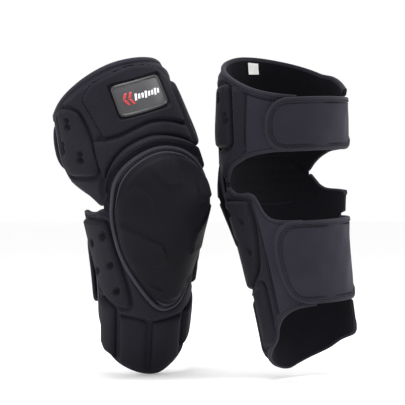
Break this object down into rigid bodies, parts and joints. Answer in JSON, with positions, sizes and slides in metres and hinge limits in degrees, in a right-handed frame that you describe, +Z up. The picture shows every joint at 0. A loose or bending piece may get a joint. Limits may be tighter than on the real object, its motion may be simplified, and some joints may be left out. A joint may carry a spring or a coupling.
{
  "type": "motorcycle knee guards",
  "caption": "Pair of soft wrap-around knee and shin guards with a moulded cup, raised side pads, a badge field and two hook-and-loop straps each, closed at the back.",
  "frame": {"origin": "centre of the right knee, inside the right guard at the height of its side notch", "axes": "+Z up along the worn leg, +X from the right guard to the left one, -Y towards the viewer in front of the right guard"},
  "size_m": [0.3606, 0.2188, 0.3837],
  "materials": {
    "neoprene": "matt neoprene with a fine knit face",
    "loop_fabric": "brushed loop fabric",
    "lining": "smooth black tricot",
    "hook_tape": "hook tape",
    "binding": "folded woven tape",
    "stretch_fabric": "ribbed stretch knit",
    "pad_fabric": "fine knit moulded over foam",
    "shell_plastic": "moulded polyethylene",
    "foam": "closed cell foam",
    "badge_rubber": "soft satin rubber",
    "badge_metal": "brushed metal with a raised motif",
    "label": "white woven tape"
  },
  "bodies": {
    "right_thigh_body": {"right_thigh_sleeve": "neoprene", "right_thigh_lining": "lining", "right_thigh_rim_binding": "binding", "right_thigh_front_pad": "pad_fabric", "right_thigh_arch_pad": "pad_fabric", "right_thigh_roll_pad": "pad_fabric", "right_thigh_outer_pad": "pad_fabric", "right_thigh_inner_pad": "pad_fabric", "right_badge_frame": "badge_rubber", "right_badge_plate": "badge_metal", "right_care_label": "label", "right_thigh_loop_panel": "loop_fabric", "right_knee_stretch_panel": "stretch_fabric"},
    "right_thigh_strap_body": {"right_thigh_strap": "loop_fabric", "right_thigh_hook_patch": "hook_tape"},
    "right_cup_body": {"right_cup_cover": "pad_fabric", "right_cup_shell": "shell_plastic", "right_cup_foam": "foam", "right_cup_piping": "binding"},
    "right_shin_body": {"right_shin_sleeve": "neoprene", "right_shin_lining": "lining", "right_shin_outer_rib": "pad_fabric", "right_shin_inner_rib": "pad_fabric", "right_shin_outer_pad": "pad_fabric", "right_shin_inner_pad": "pad_fabric", "right_shin_low_outer_pad": "pad_fabric", "right_shin_low_inner_pad": "pad_fabric", "right_calf_loop_panel": "loop_fabric"},
    "right_calf_strap_body": {"right_calf_strap": "loop_fabric", "right_calf_hook_patch": "hook_tape"},
    "left_thigh_body": {"left_thigh_sleeve": "neoprene", "left_thigh_lining": "lining", "left_thigh_rim_binding": "binding", "left_thigh_front_pad": "pad_fabric", "left_thigh_arch_pad": "pad_fabric", "left_thigh_roll_pad": "pad_fabric", "left_thigh_outer_pad": "pad_fabric", "left_thigh_inner_pad": "pad_fabric", "left_badge_frame": "badge_rubber", "left_badge_plate": "badge_metal", "left_care_label": "label", "left_thigh_loop_panel": "loop_fabric", "left_knee_stretch_panel": "stretch_fabric"},
    "left_thigh_strap_body": {"left_thigh_strap": "loop_fabric", "left_thigh_hook_patch": "hook_tape"},
    "left_cup_body": {"left_cup_cover": "pad_fabric", "left_cup_shell": "shell_plastic", "left_cup_foam": "foam", "left_cup_piping": "binding"},
    "left_shin_body": {"left_shin_sleeve": "neoprene", "left_shin_lining": "lining", "left_shin_outer_rib": "pad_fabric", "left_shin_inner_rib": "pad_fabric", "left_shin_outer_pad": "pad_fabric", "left_shin_inner_pad": "pad_fabric", "left_shin_low_outer_pad": "pad_fabric", "left_shin_low_inner_pad": "pad_fabric", "left_calf_loop_panel": "loop_fabric"},
    "left_calf_strap_body": {"left_calf_strap": "loop_fabric", "left_calf_hook_patch": "hook_tape"}
  },
  "joints": [
    {"name": "right_knee_flex", "type": "hinge", "parent": "right_thigh_body", "child": "right_shin_body", "pos_m": [0, 0, 0], "axis": [0.8684, 0.4109, 0.2774], "range_deg": [0, 45], "deforming": ["right_knee_stretch_panel"]},
    {"name": "right_cup_float", "type": "hinge", "parent": "right_thigh_body", "child": "right_cup_body", "pos_m": [0, 0, 0], "axis": [0.8684, 0.4109, 0.2774], "range_deg": [0, 22.5]},
    {"name": "right_thigh_strap_open", "type": "hinge", "parent": "right_thigh_body", "child": "right_thigh_strap_body", "pos_m": [0.03321, 0.04026, 0.07965], "axis": [0.3772, 0.0354, -0.9255], "range_deg": [0, 95]},
    {"name": "right_calf_strap_open", "type": "hinge", "parent": "right_shin_body", "child": "right_calf_strap_body", "pos_m": [0.04442, 0.07268, -0.07391], "axis": [-0.1293, 0.3093, -0.9421], "range_deg": [0, 95]},
    {"name": "left_knee_flex", "type": "hinge", "parent": "left_thigh_body", "child": "left_shin_body", "pos_m": [0.1746, 0, 0.012], "axis": [-0.797, -0.6014, -0.0558], "range_deg": [0, 45], "deforming": ["left_knee_stretch_panel"]},
    {"name": "left_cup_float", "type": "hinge", "parent": "left_thigh_body", "child": "left_cup_body", "pos_m": [0.1746, 0, 0.012], "axis": [-0.797, -0.6014, -0.0558], "range_deg": [0, 22.5]},
    {"name": "left_thigh_strap_open", "type": "hinge", "parent": "left_thigh_body", "child": "left_thigh_strap_body", "pos_m": [0.23864, 0.01047, 0.07514], "axis": [-0.0787, -0.3748, 0.9238], "range_deg": [0, 95]},
    {"name": "left_calf_strap_open", "type": "hinge", "parent": "left_shin_body", "child": "left_calf_strap_body", "pos_m": [0.2434, 0.00867, -0.08084], "axis": [-0.0483, 0.2369, 0.9703], "range_deg": [0, 95]},
    {"name": "pair_spacing", "type": "slide", "parent": "right_thigh_body", "child": "left_thigh_body", "axis": [1, 0, 0], "range_m": [0, 0.2]}
  ],
  "couplings": [
    {"joint": "right_cup_float", "follows": "right_knee_flex", "ratio": 0.5},
    {"joint": "left_cup_float", "follows": "left_knee_flex", "ratio": 0.5}
  ]
}
